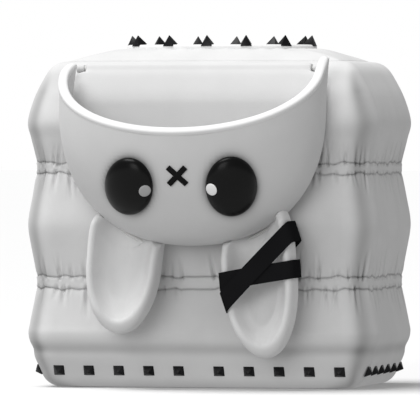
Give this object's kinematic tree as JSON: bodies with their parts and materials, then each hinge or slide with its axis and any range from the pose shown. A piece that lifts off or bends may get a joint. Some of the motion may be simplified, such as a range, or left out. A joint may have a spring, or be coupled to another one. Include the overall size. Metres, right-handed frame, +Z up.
{
  "type": "bag-bodied hand puppet",
  "caption": "Quilted bag-bodied hand puppet with a studded hem, a spiked collar and a lifting rabbit-face hood with hanging ears.",
  "frame": {"origin": "centre of the bag's outline on the surface that the hem stands on", "axes": "+Z up, -Y is the front with the face, +X is to the right of someone who faces the puppet"},
  "size_m": [0.3214, 0.2886, 0.3154],
  "materials": {
    "quilt_cloth": "matt quilted cloth",
    "hem_cloth": "matt bound cloth",
    "lining_cloth": "thin matt lining",
    "hood_cloth": "smooth felted cloth",
    "ear_cloth": "smooth felted cloth",
    "ear_plush": "short pile",
    "black_stud": "satin black enamel",
    "black_gloss": "high gloss",
    "white_gloss": "gloss",
    "grey_gloss": "gloss",
    "black_felt": "matt felt",
    "black_webbing": "close matt weave",
    "washer_plastic": "moulded",
    "cord_core": "twisted cotton cord"
  },
  "bodies": {
    "bag": {"upper_tier": "quilt_cloth", "middle_tier": "quilt_cloth", "lower_tier": "quilt_cloth", "upper_gather_band": "quilt_cloth", "lower_gather_band": "quilt_cloth", "top_yoke": "quilt_cloth", "hem_cuff": "hem_cloth", "collar_band": "hem_cloth", "fold_end_tabs": "hem_cloth", "body_lining": "lining_cloth", "hem_studs_front": "black_stud", "hem_studs_back": "black_stud", "hem_studs_left": "black_stud", "hem_studs_right": "black_stud", "collar_spikes": "black_stud", "fold_piping": "cord_core"},
    "hood": {"hood_shell": "hood_cloth", "hood_gusset": "hood_cloth", "hood_back_panel": "hood_cloth", "rim_binding": "hood_cloth", "hood_lining": "lining_cloth", "eye_left": "black_gloss", "eye_right": "black_gloss", "eye_glint_left": "grey_gloss", "eye_glint_right": "white_gloss", "eye_washer_left": "washer_plastic", "eye_washer_right": "washer_plastic", "nose_bar_rising": "black_felt", "nose_bar_falling": "black_felt", "ear_pin_left": "cord_core", "ear_pin_right": "cord_core", "ear_lugs_left": "hood_cloth", "ear_lugs_right": "hood_cloth"},
    "ear_left": {"ear_left": "ear_cloth", "ear_pad_left": "ear_plush"},
    "ear_right": {"ear_right": "ear_cloth", "ear_pad_right": "ear_plush", "ear_strap_level": "black_webbing", "ear_strap_crossing": "black_webbing"}
  },
  "joints": [
    {"name": "hood_fold", "type": "hinge", "parent": "bag", "child": "hood", "pos_m": [0, -0.084, 0.284], "axis": [-1, 0, 0], "range_deg": [0, 75]},
    {"name": "ear_left_flap", "type": "hinge", "parent": "hood", "child": "ear_left", "pos_m": [-0.05717, -0.1094, 0.13631], "axis": [-0.8868, 0, 0.4622], "range_deg": [0, 40]},
    {"name": "ear_right_flap", "type": "hinge", "parent": "hood", "child": "ear_right", "pos_m": [0.06133, -0.1094, 0.13857], "axis": [-0.8684, 0, -0.4958], "range_deg": [0, 40]}
  ]
}
